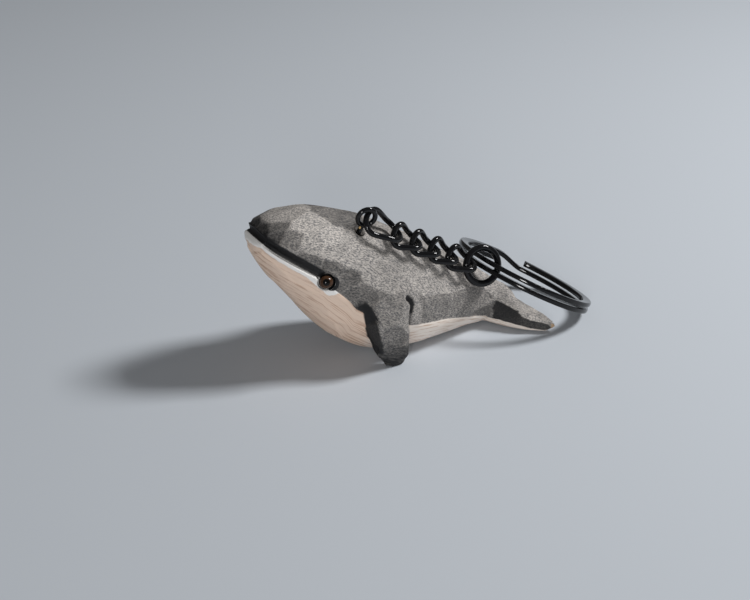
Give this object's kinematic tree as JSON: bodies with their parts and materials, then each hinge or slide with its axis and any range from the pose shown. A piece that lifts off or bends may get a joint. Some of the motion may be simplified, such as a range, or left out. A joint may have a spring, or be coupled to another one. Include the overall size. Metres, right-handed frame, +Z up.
{
  "type": "carved wooden whale key ring",
  "caption": "Hand-carved painted wooden whale with glass eyes, a screw eye, a short link chain along its back and a split ring for keys.",
  "frame": {"origin": "on the flat under the belly, midway between the whale's two sides, on the floor", "axes": "+X from head to tail, +Y to the whale's right side, +Z up"},
  "size_m": [0.0742, 0.03, 0.0319],
  "materials": {
    "painted_wood": "matt hand-painted grey with a white belly",
    "eye_glass": "polished dark glass",
    "black_metal": "gloss black plated steel wire"
  },
  "bodies": {
    "whale": {"whale_body": "painted_wood", "left_eye": "eye_glass", "right_eye": "eye_glass", "screw_eye": "black_metal"},
    "first_link": {"chain_link_1": "black_metal"},
    "second_link": {"chain_link_2": "black_metal"},
    "third_link": {"chain_link_3": "black_metal"},
    "fourth_link": {"chain_link_4": "black_metal"},
    "fifth_link": {"chain_link_5": "black_metal"},
    "joining_ring": {"end_ring": "black_metal"},
    "key_ring": {"split_ring": "black_metal"}
  },
  "joints": [
    {"name": "link_1_in_screw_eye", "type": "hinge", "parent": "whale", "child": "first_link", "pos_m": [-0.00933, -0.00566, 0.02971], "axis": [-0.3733, -0.7695, -0.5183], "range_deg": [0, 140]},
    {"name": "link_2_in_link_1", "type": "hinge", "parent": "first_link", "child": "second_link", "pos_m": [-0.00365, -0.0059, 0.02559], "axis": [0.2879, 0.72, 0.6314], "range_deg": [-20, 0]},
    {"name": "link_3_in_link_2", "type": "hinge", "parent": "second_link", "child": "third_link", "pos_m": [0.00063, -0.00554, 0.02323], "axis": [-0.2681, -0.7549, -0.5985], "range_deg": [0, 22]},
    {"name": "link_4_in_link_3", "type": "hinge", "parent": "third_link", "child": "fourth_link", "pos_m": [0.00488, -0.00511, 0.02083], "axis": [0.2969, 0.7361, 0.6082], "range_deg": [-28, 0]},
    {"name": "link_5_in_link_4", "type": "hinge", "parent": "fourth_link", "child": "fifth_link", "pos_m": [0.00907, -0.00466, 0.01833], "axis": [-0.3535, -0.6906, -0.631], "range_deg": [0, 28]},
    {"name": "end_ring_in_link_5", "type": "hinge", "parent": "fifth_link", "child": "joining_ring", "pos_m": [0.01465, -0.00464, 0.01519], "axis": [0, 0.9613, -0.2756], "range_deg": [-18, 0]},
    {"name": "split_ring_in_end_ring", "type": "hinge", "parent": "joining_ring", "child": "key_ring", "pos_m": [0.01768, -0.00479, 0.01472], "axis": [-0.2988, 0.9401, 0.1642], "range_deg": [-60, 0]}
  ]
}
